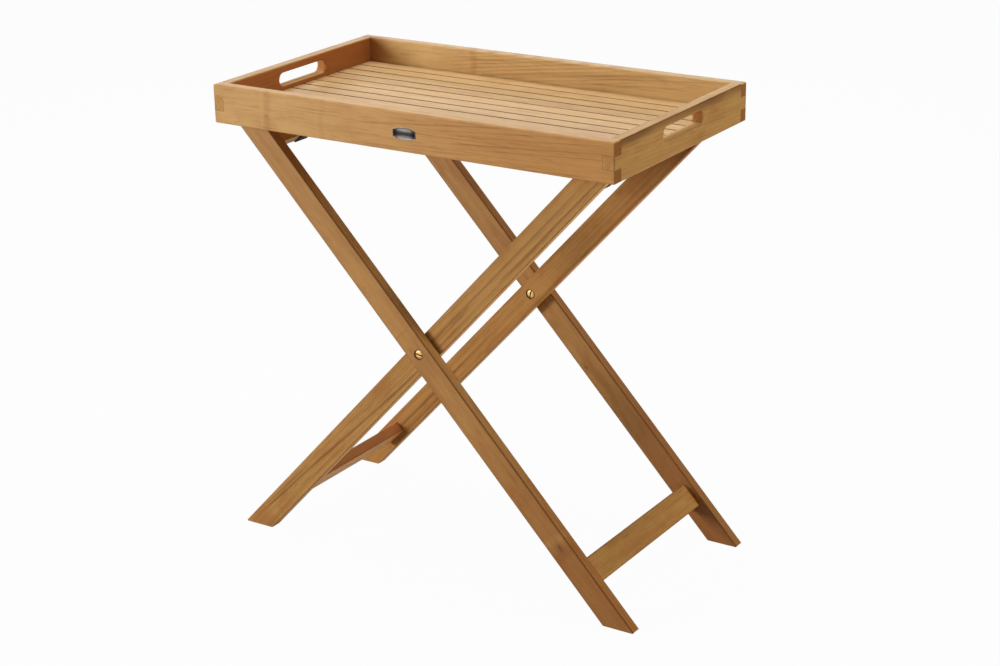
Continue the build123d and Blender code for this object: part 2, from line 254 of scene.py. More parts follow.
class Paint:
    """One procedural finish."""

    def __init__(self, name, **constants):
        self.material = bpy.data.materials.new(name)
        self.material.use_nodes = True
        self.tree = self.material.node_tree
        self.tree.nodes.clear()
        self.shader = self.tree.nodes.new("ShaderNodeBsdfPrincipled")
        self.result = self.tree.nodes.new("ShaderNodeOutputMaterial")
        self.tree.links.new(self.shader.outputs[0], self.result.inputs["Surface"])
        for socket, value in constants.items():
            self.shader.inputs[socket.replace("_", " ")].default_value = value

    def node(self, kind, settings=None, values=None, give=0):
        made = self.tree.nodes.new(kind)
        for key, value in (settings or {}).items():
            setattr(made, key, value)
        for key, value in (values or {}).items():
            socket = made.inputs[key]
            if isinstance(value, Wire):
                self.tree.links.new(value.socket, socket)
            else:
                socket.default_value = value
        return Wire(self, made.outputs[give])

    def finish(self, tone, rough, relief, strength, distance):
        """Feeds the colour, the roughness and a fine relief to the shader, and gives the material."""
        normal = self.node("ShaderNodeBump", None,
                           {"Height": relief, "Strength": strength, "Distance": distance})
        for socket, wire in (("Base Color", tone), ("Roughness", rough), ("Normal", normal)):
            self.tree.links.new(wire.socket, self.shader.inputs[socket])
        return self.material

    def coordinates(self, give="Object"):
        return self.node("ShaderNodeTexCoord", give=give)

    def vector(self, operation, left, right):
        return self.node("ShaderNodeVectorMath", {"operation": operation}, {0: left, 1: right})

    def turned(self, source, turn):
        return self.node("ShaderNodeMapping", {"vector_type": "POINT"},
                         {"Vector": source, "Rotation": turn})

    def parts(self, source):
        return [self.node("ShaderNodeSeparateXYZ", None, {0: source}, give) for give in range(3)]

    def join(self, x, y, z):
        return self.node("ShaderNodeCombineXYZ", None, {0: x, 1: y, 2: z})

    def noise(self, place, stretch, seed, detail=2.0, roughness=0.5):
        """Smooth noise from 0 to 1, stretched along each axis."""
        spot = self.vector("MULTIPLY", place, stretch)
        spot = self.vector("ADD", spot, (seed * 3.71, seed * 7.13, seed * 1.97))
        return self.node("ShaderNodeTexNoise", {"noise_dimensions": "3D"},
                         {"Vector": spot, "Scale": 1.0, "Detail": detail, "Roughness": roughness})

    def rise(self, value, low, high):
        """Soft step from 0 at low to 1 at high."""
        return self.node("ShaderNodeMapRange", {"interpolation_type": "SMOOTHSTEP"},
                         {"Value": value, "From Min": low, "From Max": high})

    def fall(self, value, low, high):
        """Soft step from 1 at low to 0 at high."""
        return 1.0 - self.rise(value, low, high)

    def window(self, value, low, high, soft):
        """1 between low and high, with soft ends."""
        return self.rise(value, low - soft, low + soft) * self.fall(value, high - soft, high + soft)

    def away(self, first, second):
        """Distance from where both values are 0."""
        return (first * first + second * second) ** 0.5

    def fraction(self, value):
        return value.maths("FRACT", value, 0.0)

    def least(self, left, right):
        return left.maths("MINIMUM", left, right)

    def most(self, left, right):
        return left.maths("MAXIMUM", left, right)

    def mix(self, factor, first, second, blend="MIX"):
        """Colour between two colours."""
        values = {0: factor, 6: first, 7: second}
        for key in (6, 7):
            if not isinstance(values[key], Wire):
                values[key] = tuple(values[key])[:3] + (1.0,)
        return self.node("ShaderNodeMix", {"data_type": "RGBA", "blend_type": blend,
                                           "clamp_factor": True}, values, 2)


@dataclass
class Board:
    """How one board was cut: where it lies, which way its grain runs and what its figure is.

    In the board's own axes X runs along the grain, and flat is the axis through its thickness, Y or Z.
    A line or a mark with a negative strength is pale, and any other is dark.
    """

    centre: tuple
    turn: tuple
    half: tuple
    flat: str
    seed: float
    pith: tuple            # where the tree's heart lies, across the board and through it
    slope: float = 0.03    # how fast the heart drifts along the board
    ring: float = 0.006    # distance between growth rings
    figure: float = 0.25   # strength of the rings
    warp: float = 0.012    # how far the rings wander
    strand: float = 0.35   # strength of the long soft bands
    fibre: float = 0.25    # strength of the fine fibres
    mottle: float = 0.35   # strength of the patches
    crisp: float = 1.4     # how thin the dark rings are
    heart_and_shade: tuple = None    # drift to another colour, which on the inner back leg is painted shade: from, to, strength, colour
    knots: tuple = ()      # along, across, radius
    lines: tuple = ()      # streaks along the grain, and on the right end rail a band of painted shade: across, half width, strength, wander, slope, from, to
    marks: tuple = ()      # bands across the near face, some of them painted shade: along, half width, strength
    flecks: float = 0.3    # strength of the short dark dashes
    edge: float = 0.1      # strength of the dark line along the edges, a painted shade
    sawn: float = 0.5      # strength of the end grain
    gaps: float = 0.0      # strength of the shade on narrow faces inside gaps
    inside: float = 0.0    # strength of the painted red shade on the inner face
    tint: tuple = WHITE    # tint of the whole board; with a crown, only of the faces that don't look up, as painted light and shade
    flame: tuple = None    # stretch along the board where the rings show
    crown: tuple = None    # painted light and shade: tint of the faces that look up, apart from the other faces
    side: tuple = None     # painted light and shade: tints of the narrow faces along the board: before, after, from, to
    bore: float = 0.0      # radius of a dark ring of painted shade round a pivot's head at the middle of the board
    gloss: float = 0.2     # how much the oil shines
    fingers: int = None    # axis that a rail with finger joints runs along, 0 or 1


def even_side(*tint):
    """One tint all along the narrow faces, as painted light and shade."""
    return tint, tint, -0.5, 0.5


# In each rail the tint and the crown colour the faces apart as painted light and shade: the crown the faces
# that look up, the tint the rest
RAIL_BOARDS = {
    "front_rail": Board(
        (0, -RAIL_ASIDE, RAIL_LEVEL), AS_BUILT, RAIL_HALF, "Y", 3.0, (-0.16, 0.03), slope=-0.070,
        ring=0.0068, figure=0.30, warp=0.014, strand=0.12, fibre=0.40, mottle=0.50, crisp=2.0,
        heart_and_shade=(-0.34, 0.30, 0.50, "amber"), knots=((-0.2492, -0.0075, 0.0012),),
        lines=((0.0040, 0.0018, 0.32, 0.004, 0.085, 0.02, 0.27),
               (-0.0035, 0.0014, 0.28, 0.004, 0.078, 0.05, 0.34),
               (-0.0125, 0.0018, 0.28, 0.004, 0.072, 0.09, 0.34),
               (-0.0175, 0.0012, 0.34, 0.003, 0.060, 0.15, 0.34),
               (0.0120, 0.0022, 0.24, 0.004, 0.090, -0.07, 0.18),
               (-0.0230, 0.0014, 0.24, 0.003, 0.030, -0.10, 0.12)),
        marks=((-0.2575, 0.008, -0.5), (-0.2485, 0.010, 0.22), (-0.212, 0.006, -0.35),
               (-0.145, 0.008, 0.12)),
        flecks=0.26, edge=0.06, sawn=0.85, flame=(0.02, 0.40), tint=(0.97, 0.97, 0.91),
        crown=(0.92, 0.95, 0.89), fingers=0),
    "back_rail": Board(
        (0, RAIL_ASIDE, RAIL_LEVEL), AS_BUILT, RAIL_HALF, "Y", 11.0, (-0.15, 0.02), slope=-0.130,
        ring=0.0064, figure=0.48, warp=0.016, strand=0.14, fibre=0.22, mottle=0.28, crisp=1.8,
        lines=((0.0092, 0.0014, -0.60, 0.003, 0.115, -0.15, 0.17),
               (0.0035, 0.0034, 0.20, 0.004, 0.100, -0.11, 0.23),
               (0.0232, 0.0024, 0.24, 0.003, 0.060, -0.14, 0.07),
               (0.0010, 0.0020, 0.24, 0.003, 0.080, 0.05, 0.30),
               (-0.0060, 0.0028, 0.20, 0.004, 0.060, -0.06, 0.25),
               (0.0140, 0.0022, -0.40, 0.003, 0.070, 0.02, 0.20)),
        # The dark band at the left end is painted shade in the inner corner by the left end rail
        marks=((-0.340, 0.065, 0.85), (-0.128, 0.010, 0.22)),
        flecks=0.2, edge=0.06, sawn=0.85, flame=(-0.17, 0.17), tint=(1.11, 1.27, 1.45),
        crown=(0.88, 0.98, 1.13), fingers=0),
    "left_end_rail": Board(
        (-END_ASIDE, 0, RAIL_LEVEL), QUARTER_TURN, RAIL_HALF, "Y", 23.0, (0.05, 0.10), slope=0.05,
        # inside: the inner face is painted red as shade
        figure=0.20, strand=0.30, fibre=0.30, mottle=0.40, edge=0.08, sawn=0.10, inside=0.72,
        crown=(0.82, 0.85, 0.74), fingers=1),
    "right_end_rail": Board(
        (END_ASIDE, 0, RAIL_LEVEL), QUARTER_TURN, RAIL_HALF, "Y", 31.0, (0.10, 0.08), slope=0.06,
        ring=0.0050, figure=0.22, warp=0.010, strand=0.20, fibre=0.32, mottle=0.65,
        # The dark lines near the top of the outer face are painted shade below the rim
        lines=((0.0310, 0.0190, 0.50, 0.002, 0.0, -0.25, 0.25),
               (0.0305, 0.0150, 0.45, 0.002, 0.0, -0.25, 0.25),
               (0.0295, 0.0024, 0.30, 0.001, 0.0, -0.25, 0.25)),
        flecks=0.22, edge=0.08, sawn=0.06, tint=(0.75, 0.71, 0.52), crown=(0.90, 0.94, 0.88),
        gloss=0.10, fingers=1),
}

LEG_BOARDS = {
    "outer_leg_front": Board(
        (0, -OUTER_ASIDE, PIVOT.z), OUTER_TURN, LEG_HALF, "Y", 101.0, (0.012, 0.11), slope=0.018,
        ring=0.0075, figure=0.16, strand=0.30, fibre=0.36, mottle=0.75,
        # The drift makes the board darker and redder towards the foot
        heart_and_shade=(0.02, 0.42, 0.46, "heart_and_shade"), knots=((0.3580, 0.002, 0.0050),),
        marks=((0.346, 0.009, -0.45), (0.370, 0.014, 0.40), (-0.040, 0.003, 0.20)),
        flecks=0.22, edge=0.75, tint=(0.96, 0.95, 0.90),
        # The narrow faces are painted darker and redder at the head as the tray's shadow, and paler below as
        # painted light
        side=((0.74, 0.52, 0.41), (1.06, 1.07, 1.14), -0.38, -0.12), bore=BORE_RING),
    "outer_leg_back": Board(
        (0, OUTER_ASIDE, PIVOT.z), OUTER_TURN, LEG_HALF, "Y", 113.0, (0.03, 0.09), slope=0.025,
        ring=0.0070, figure=0.18, strand=0.28, fibre=0.34, mottle=0.80,
        # The drift makes the board darker and redder towards the foot
        heart_and_shade=(0.12, 0.46, 0.62, "heart_and_shade"), knots=((0.148, -0.011, 0.0030),),
        flecks=0.2, edge=0.75, tint=(0.89, 0.86, 0.80),
        # The narrow faces are painted darker at the head as shade, and paler at the foot as painted light
        side=((0.86, 0.78, 0.86), (1.03, 1.18, 1.40), 0.24, 0.46), bore=BORE_RING),
    "inner_leg_front": Board(
        (0, -INNER_ASIDE, PIVOT.z), INNER_TURN, LEG_HALF, "Y", 127.0, (-0.10, 0.04), slope=0.014,
        ring=0.0085, figure=0.22, warp=0.010, strand=0.28, fibre=0.34, mottle=0.65,
        lines=((-0.0144, 0.0032, 0.50, 0.012, -0.054, -0.47, -0.03),
               (-0.0080, 0.0022, 0.35, 0.008, -0.050, -0.47, -0.34),
               (0.0080, 0.0050, -0.55, 0.004, 0.0, 0.00, 0.43),
               (0.0030, 0.0022, 0.34, 0.004, 0.0, 0.02, 0.43),
               (-0.0060, 0.0030, -0.65, 0.003, 0.0, 0.02, 0.43),
               (-0.0100, 0.0020, 0.42, 0.004, 0.0, 0.02, 0.43),
               (-0.0160, 0.0045, -0.65, 0.002, 0.0, -0.40, 0.43)),
        marks=((-0.490, 0.036, 0.40),), edge=0.25, tint=(1.03, 1.07, 1.12),
        # The narrow faces are painted paler all along: painted light
        side=even_side(1.25, 1.20, 1.0), bore=BORE_RING, gloss=0.08),
    "inner_leg_back": Board(
        (0, INNER_ASIDE, PIVOT.z), INNER_TURN, LEG_HALF, "Y", 139.0, (-0.07, 0.07), slope=0.020,
        ring=0.0080, figure=0.22, strand=0.30, fibre=0.36, mottle=0.80,
        # The drift at the top to the end grain colour is the painted shadow of the tray
        heart_and_shade=(0.20, 0.44, 0.90, "end_grain_and_shadow"),
        lines=((-0.0010, 0.0036, 0.50, 0.006, 0.0, -0.40, -0.12),
               (-0.0130, 0.0022, 0.40, 0.004, 0.0, -0.40, -0.26),
               (0.0005, 0.0016, 0.32, 0.003, 0.0, 0.10, 0.36),
               (-0.0165, 0.0030, 0.30, 0.002, 0.0, -0.15, 0.30)),
        # The narrow faces are painted paler all along: painted light
        edge=0.25, tint=(1.05, 1.02, 1.02), side=even_side(1.25, 1.20, 1.0), bore=BORE_RING, gloss=0.08),
}


class Wood(Paint):
    """Oiled hardwood of one board, with growth rings, fibres, pores and end grain, with painted light and
    shade in tints by face and a dark line of painted shade along its edges.
    """

    def __init__(self, name, board, kind):
        super().__init__(name, IOR=1.54, Specular_IOR_Level=board.gloss)
        self.board = board
        self.colours = bpy.context.scene.tray_wood
        self.light = getattr(self.colours, kind + "_light")
        self.dark = getattr(self.colours, kind + "_dark")
        upright = board.flat == "Y"
        self.here = self.coordinates()
        self.place = self.turned(self.vector("SUBTRACT", self.here, board.centre), board.turn)
        self.along, second, third = self.parts(self.place)
        self.width, self.thick = (third, second) if upright else (second, third)
        facing = self.coordinates("Normal")
        ahead, second, third = self.parts(self.turned(facing, board.turn))
        self.sawn = self.rise(abs(ahead), *FACING)
        self.flank = self.rise(abs(third if upright else second), *FACING)
        self.up = self.rise(self.parts(facing)[2], 0.75, 0.97)
        # The slots' lower faces, which are painted paler as painted light
        self.lip = self.up * self.fall(self.width, *BELOW_RIM)
        self.fibre = self.grain(7.0, 330.0, 2.7, 3.0, 0.62)
        self.pore = self.rise(self.grain(42.0, 1500.0, 4.4, 1.0), 0.60, 0.74)
        self.late, self.core = self.rings()
        tone, rough = self.edged(self.tinted(self.specked(self.streaks_and_shade(self.ground()))))
        relief = self.fibre * 0.55 + self.late * 0.25 - self.pore * 0.7
        self.finish(tone, rough, relief, 0.35, 0.00022)

    def grain(self, along, across, offset, detail=2.0, roughness=0.5):
        """Noise of this board's own, drawn out along the grain."""
        return self.noise(self.place, (along, across, across), self.board.seed + offset, detail, roughness)

    def rings(self):
        """How dark the late wood is, and the cores of any knots, which push the rings aside."""
        board = self.board
        wander = self.grain(1.7, 8.0, 0.0) - 0.5
        ripple = self.grain(7.0, 45.0, 1.3) - 0.5
        aside = self.width - board.pith[0] + self.along * board.slope
        behind = self.thick - board.pith[1]
        radius = self.away(aside, behind) + wander * (board.warp * 2.0) + ripple * (board.warp * 0.16)
        core = None
        for at, across, size in board.knots:
            run = (self.along - at) / (size * 1.9)
            climb = (self.width - across) / size
            near = self.away(run, climb)
            radius = radius + self.fall(near, 0.0, 3.4) * (size * 2.4)
            spot = self.fall(near, 0.2, 1.15) * 0.75 + self.fall(near, 0.8, 2.6) * 0.25
            core = spot if core is None else self.most(core, spot)
        ring = self.fraction(radius / board.ring)
        late = self.rise(ring, 0.10, 0.86) * self.fall(ring, 0.90, 1.0)
        rhythm = self.grain(0.9, 60.0, 5.1, 1.0)
        late = late ** board.crisp * (0.25 + rhythm * 1.5)
        if board.flame:
            late = late * self.window(self.along, *board.flame, 0.06)
        return late, core

    def ground(self):
        """Colour of the wood, with its bands, patches and broad drifts, one drift painted shade, and the
        painted red shade on an inner face.
        """
        board = self.board
        strand = self.grain(2.6, 105.0, 9.4, 3.0, 0.6)
        mottle = self.grain(13.0, 36.0, 8.2, 3.0, 0.6)
        tone = self.mix(self.late * board.figure, self.light, self.dark)
        tone = self.mix(self.rise(strand, 0.44, 0.72) * board.strand, tone, self.dark)
        tone = self.mix(self.rise(self.fibre, 0.42, 0.78) * board.fibre, tone, self.dark)
        patch = self.mix(0.45, tone, self.colours.heart_and_shade)
        tone = self.mix(self.rise(mottle, 0.44, 0.70) * board.mottle, tone, patch)
        # On the inner back leg this drift is the painted shadow of the tray
        if board.heart_and_shade:
            low, high, strength, drift_colour = board.heart_and_shade
            share = self.rise(self.along + (mottle - 0.5) * 0.12, low, high) * strength
            if board.crown:
                share = share * (1.0 - self.up)
            tone = self.mix(share, tone, getattr(self.colours, drift_colour))
        # The inner face is painted red: painted shade
        if board.inside:
            half_width, half_thick = board.half
            inner = self.rise(0.0 - self.thick, 0.0, half_thick - 0.0005)
            inner = inner * self.fall(self.width, half_width - 0.0025, half_width - 0.0005)
            inner = inner * self.fall(abs(self.along), SHOULDERS[1] - 0.0020, SHOULDERS[1] - 0.0002)
            tone = self.mix(inner * board.inside, tone, self.colours.red_heart_and_shade)
        return tone

    def streaks_and_shade(self, tone):
        """Streaks along the grain and bands across it, some of them painted shade."""
        board = self.board
        for across, half_width, strength, wander, slope, low, high in board.lines:
            sway = (self.grain(2.4, 3.0, across * 900) - 0.5) * wander
            off = abs(self.width - across + sway - self.along * slope)
            shown = self.rise(self.grain(5.0, 12.0, across * 500), 0.26, 0.50)
            shown = shown * self.window(self.along, low, high, 0.02) * abs(strength)
            if board.crown:
                shown = shown * (1.0 - self.up)
            line_share = self.fall(off, half_width * 0.2, half_width) * shown
            tone = self.mix(line_share, tone, self.light if strength < 0 else STREAK_AND_SHADE)
        half_thick = board.half[1]
        near_face = self.rise(0.0 - self.thick, -half_thick, half_thick - 0.003)
        # Some of these bands are painted shade, such as the back rail's corner and the stretcher's ends
        for at, spread, strength in board.marks:
            sway = (self.grain(1.0, 30.0, at * 90) - 0.5) * 0.016
            off = abs(self.along - at + sway)
            shown = self.fall(off, spread * 0.2, spread) * near_face * abs(strength)
            tone = self.mix(shown, tone, self.light if strength < 0 else self.colours.heart_and_shade)
        return tone

    def specked(self, tone):
        """Short dark dashes, knots and pores."""
        dash = self.rise(self.grain(17.0, 380.0, 7.5, 1.0), 0.60, 0.72)
        tone = self.mix(dash * self.board.flecks, tone, FLECK)
        if self.core is not None:
            tone = self.mix(self.core * 0.70, tone, KNOT)
        return self.mix(self.pore * 0.30, tone, PORE)

    def tinted(self, tone):
        """Tints of single faces and of the narrow faces as painted light and shade, the slots' paler lower
        faces as painted light, the painted shade ring round a pivot's head, the hand slots' ends and the end
        grain.
        """
        board, colours = self.board, self.colours
        # The faces that look up and the other faces get their own tints: painted light and shade
        if board.crown:
            shade = self.mix(self.up, board.tint, board.crown)
            tone = self.mix(1.0 - self.sawn, tone, shade, "MULTIPLY")
            # Painted light: the slots' lower faces are made paler
            tone = self.mix(self.lip * 0.8, tone, colours.lip)
            slot_end = self.sawn * self.fall(abs(self.along), *PAST_SLOT)
            tone = self.mix(slot_end * 0.5, tone, colours.red_heart_and_shade)
        elif board.tint != WHITE:
            tone = self.mix(1.0, tone, board.tint, "MULTIPLY")
        # Painted light and shade on the narrow faces, changing along the board
        if board.side:
            before, after, low, high = board.side
            narrow = self.mix(self.rise(self.along, low, high), before, after)
            tone = self.mix(self.flank, tone, narrow, "MULTIPLY")
        # A dark ring round the pivot's head: painted shade of its recess
        if board.bore:
            around = self.away(self.along, self.width)
            tone = self.mix(self.fall(around, board.bore, board.bore + 0.0012) * 0.4, tone, BORE_PAINTED_SHADE)
        end_tone = self.mix(self.late * 0.6, colours.end_grain_and_shadow, END_RING)
        return self.mix(self.sawn * board.sawn, tone, end_tone)

    def edged(self, tone):
        """A dark line of painted shade along the edges, the shade in gaps and the glue lines of joints, with
        the roughness of it all.
        """
        board = self.board
        half_width, half_thick = board.half
        corner = self.least(abs(self.width) - half_width, abs(self.thick) - half_thick)
        # The dark line along the edges is painted shade
        near_edge = self.rise(corner, -0.0026, -0.0008)
        painted_shading = near_edge * (0.75 + 0.5 * self.grain(9.0, 60.0, 6.6))
        tone = self.mix(painted_shading * board.edge, tone, EDGE_SHADE)
        rough = 0.36 + self.fibre * 0.16 + self.pore * 0.15 + self.sawn * 0.40 - near_edge * 0.06
        if board.crown:
            rough = rough + self.lip * 0.4
        if board.gaps:
            beside = self.rise(abs(self.width), half_width - 0.0005, half_width - 0.0002)
            below = self.fall(self.thick, half_thick - 0.0006, half_thick - 0.0001)
            gap = beside * below * board.gaps
            tone = self.mix(gap, tone, GAP_SHADE)
            rough = rough + gap * 0.5
        if board.fingers is not None:
            tone = self.mix(self.glue_lines(board.fingers) * 0.75, tone, GLUE)
        return tone, rough

    def glue_lines(self, axis):
        """Thin lines round the fingers of a rail that runs along an axis, and a line down each corner."""
        spot = self.parts(self.here)
        reach, shoulder = abs(spot[axis]), SHOULDERS[axis]
        climb = abs(spot[2] - RAIL_LEVEL)
        upright = self.fall(abs(reach - shoulder), *GLUE_LINE)
        level = self.fall(abs(climb - FINGER_HALF), *GLUE_LINE)
        in_corner = self.rise(reach, shoulder - 0.0010, shoulder + 0.0002)
        if axis:
            shown = self.rise(climb, FINGER_HALF - 0.0006, FINGER_HALF + 0.0004)
        else:
            shown = self.fall(climb, FINGER_HALF - 0.0004, FINGER_HALF + 0.0006)
        corner = 0.75
        for part, half in zip(spot, TRAY_HALF):
            corner = self.rise(abs(part), half - 0.0016, half - 0.0005) * corner
        return self.most(self.most(upright * shown, level * in_corner * 0.45), corner)


def dress(mesh, material):
    """Gives a mesh one finish."""
    mesh.materials.clear()
    mesh.materials.append(material)


def dress_in_wood(node, board, kind):
    """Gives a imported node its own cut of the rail, slat or leg wood."""
    dress(NODES[node].data, Wood(node + "_wood", board, kind).material)


def as_mesh(name, shape):
    """Mesh made from a bmesh, which is freed."""
    mesh = bpy.data.meshes.new(name)
    shape.to_mesh(mesh)
    shape.free()
    return mesh


def add_object(name, data, material=None):
    """Object in the scene that holds a mesh, a lamp or a camera."""
    added = bpy.data.objects.new(name, data)
    bpy.context.scene.collection.objects.link(added)
    if material is not None:
        dress(data, material)
    return added


class TRAY_OT_rails(bpy.types.Operator):
    """Finish the four finger-jointed rails of the tray"""

    bl_idname = "tray_table.rails"
    bl_label = "Tray rails"

    def execute(self, context):
        for node, board in RAIL_BOARDS.items():
            dress_in_wood(node, board, "rail")
        return {"FINISHED"}


class TRAY_OT_slats(bpy.types.Operator):
    """Finish the twelve floor slats, each cut from its own board"""

    bl_idname = "tray_table.slats"
    bl_label = "Floor slats"

    def execute(self, context):
        for number in range(SLAT_COUNT):
            middle = SLAT_FIRST + (number + 0.5) * SLAT_PITCH
            pith = (0.05 - 0.021 * (number * 5 % 7), 0.05 + 0.012 * (number * 3 % 5))
            shade = 0.93 + 0.035 * (number * 5 % 4)
            board = Board((0, middle, SLAT_LEVEL), AS_BUILT, SLAT_HALF, "Z", 41.0 + 2.3 * number, pith,
                          slope=0.015 + 0.011 * (number * 4 % 5), figure=0.20, warp=0.010, strand=0.26,
                          fibre=0.20, mottle=0.20 + 0.1 * (number * 7 % 3), edge=0.05,
                          gaps=0.52 + 0.12 * (number * 3 % 4),
                          tint=(shade * 1.03, shade * 1.07, shade * 1.18), gloss=0.12)
            dress_in_wood(f"floor_slat_{number + 1:02d}", board, "slat")
        return {"FINISHED"}


def ringed(name, rings, tips=(None, None), smooth_sides=False, smooth_ends=False):
    """Closed solid through rings of points, each end shut by one flat face or by a fan to a tip."""
    shape = bmesh.new()
    rows = [[shape.verts.new(point) for point in ring] for ring in rings]
    sides, ends = [], []
    for first, second in zip(rows, rows[1:]):
        for step in range(len(first)):
            nearby = (step + 1) % len(first)
            sides.append(shape.faces.new((first[step], first[nearby], second[nearby], second[step])))
    for row, tip in zip((rows[0], rows[-1]), tips):
        if tip is None:
            ends.append(shape.faces.new(row))
        else:
            point = shape.verts.new(tip)
            ends += [shape.faces.new((row[step - 1], row[step], point)) for step in range(len(row))]
    bmesh.ops.recalc_face_normals(shape, faces=shape.faces[:])
    for faces, smooth in ((sides, smooth_sides), (ends, smooth_ends)):
        for face in faces:
            face.smooth = smooth
    return as_mesh(name, shape)


def tack_head(name, diameter):
    """Domed tack turned about Z, its head resting on z = 0 and its shank going down."""
    steps, dome = 16, diameter / 2
    profile = ((dome * 0.45, 0.00112), (dome * 0.8, 0.0007), (dome, 0.0001), (dome, -0.0002),
               (0.0008, -0.0003), (0.0007, -0.004))
    turns = [2 * math.pi * step / steps for step in range(steps)]
    rings = [[(radius * math.cos(turn), radius * math.sin(turn), height) for turn in turns]
             for radius, height in profile]
    return ringed(name, rings, ((0, 0, 0.0013), (0, 0, -0.005)), True, True)


def cross_head(name, diameter):
    """Countersunk screw head with a cross recess, its face at z = 0 and its cone going down."""
    arm, reach, depth = diameter * 0.09, diameter * 0.30, diameter * 0.16
    mouth = []
    for quarter in range(4):
        turn = Matrix.Rotation(quarter * math.pi / 2, 3, "Z")
        mouth += [turn @ Vector(spot) for spot in ((reach, -arm, 0), (reach, arm, 0), (arm, arm, 0))]
    floor = [(point.x * 0.6, point.y * 0.6, -depth) for point in mouth]
    outward = [point.normalized() for point in mouth]
    rim = [out * diameter / 2 for out in outward]
    low = [out * diameter * 0.28 + Vector((0, 0, -diameter * 0.28)) for out in outward]
    return ringed(name, (low, rim, mouth, floor))


def fastener_row_tree():
    """Node tree that sets a row of heads between two points."""
    tree = bpy.data.node_groups.new("fastener_row", "GeometryNodeTree")
    for label, kind in (("Head", "Object"), ("Count", "Int"), ("First", "Vector"), ("Last", "Vector"),
                        ("Turn", "Vector"), ("Finish", "Material")):
        tree.interface.new_socket(label, in_out="INPUT", socket_type="NodeSocket" + kind)
    tree.interface.new_socket("Geometry", in_out="OUTPUT", socket_type="NodeSocketGeometry")
    entry, result, line, head, place, whole, finish = (tree.nodes.new(kind) for kind in (
        "NodeGroupInput", "NodeGroupOutput", "GeometryNodeMeshLine", "GeometryNodeObjectInfo",
        "GeometryNodeInstanceOnPoints", "GeometryNodeRealizeInstances", "GeometryNodeSetMaterial"))
    line.mode = "END_POINTS"
    for source, give, target, take in (
            (entry, "Count", line, "Count"), (entry, "First", line, "Start Location"),
            (entry, "Last", line, "Offset"), (entry, "Head", head, "Object"),
            (line, "Mesh", place, "Points"), (head, "Geometry", place, "Instance"),
            (entry, "Turn", place, "Rotation"), (place, "Instances", whole, "Geometry"),
            (whole, "Geometry", finish, "Geometry"), (entry, "Finish", finish, "Material"),
            (finish, "Geometry", result, "Geometry")):
        tree.links.new(source.outputs[give], target.inputs[take])
    return tree


def fastener_row(tree, head, count, first, last, turn, material):
    """Plain mesh of one row of heads."""
    carrier = add_object("row", bpy.data.meshes.new("row"))
    modifier = carrier.modifiers.new("row", "NODES")
    modifier.node_group = tree
    values = {"Head": head, "Count": count, "First": first, "Last": last, "Turn": turn, "Finish": material}
    for item in tree.interface.items_tree:
        if item.in_out == "INPUT":
            modifier[item.identifier] = values[item.name]
    ready = carrier.evaluated_get(bpy.context.evaluated_depsgraph_get())
    mesh = bpy.data.meshes.new_from_object(ready)
    carrier.modifiers.clear()
    bpy.data.objects.remove(carrier)
    return mesh


def joined(name, meshes):
    """One mesh from several, with the first one's finish."""
    whole = bmesh.new()
    for mesh in meshes:
        whole.from_mesh(mesh)
    result = as_mesh(name, whole)
    result.materials.append(meshes[0].materials[0])
    for polygon in result.polygons:
        polygon.material_index = 0
    return result


def bright_steel(name):
    """Steel with dull patches."""
    paint = Paint(name, Metallic=1.0)
    here = paint.coordinates()
    dull = paint.noise(here, (900.0, 900.0, 900.0), 2.0, 3.0)
    patch = paint.noise(here, (160.0, 160.0, 160.0), 7.0, 2.0)
    steel = bpy.context.scene.tray_fittings.steel
    tone = paint.mix(paint.rise(patch, 0.45, 0.7) * 0.35, steel, DULL_STEEL)
    return paint.finish(tone, 0.30 + dull * 0.25, dull, 0.2, 0.00005)


class TRAY_OT_battens(bpy.types.Operator):
    """Finish the two battens and set the screws that hold the slats to them"""

    bl_idname = "tray_table.battens"
    bl_label = "Battens and screws"

    def execute(self, context):
        tree = fastener_row_tree()
        steel = bright_steel("screw_steel")
        head = add_object("screw_pattern", cross_head("screw_pattern", context.scene.tray_fittings.screw))
        rows = []
        for side, node in ((-1, "left_batten"), (1, "right_batten")):
            middle = side * BATTEN_ASIDE
            board = Board((middle, 0, BATTEN_LEVEL), QUARTER_TURN, BATTEN_HALF, "Z", 77.0 + 4 * side,
                          (0.03, 0.06), slope=0.02, ring=0.0065, figure=0.35, warp=0.010, fibre=0.28)
            dress_in_wood(node, board, "leg")
            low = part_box(node)[0][2]
            first = (middle, SLAT_FIRST + 0.5 * SLAT_PITCH, low - 0.00005)
            last = (middle, first[1] + SLAT_PITCH * (SLAT_COUNT - 1), first[2])
            turn = (math.pi, 0.0, 0.4 * side)
            rows.append(fastener_row(tree, head, SLAT_COUNT, first, last, turn, steel))
        piece = add_object("batten_screws", joined("batten_screws", rows))
        bpy.data.objects.remove(head)
        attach(piece, "tray")
        return {"FINISHED"}


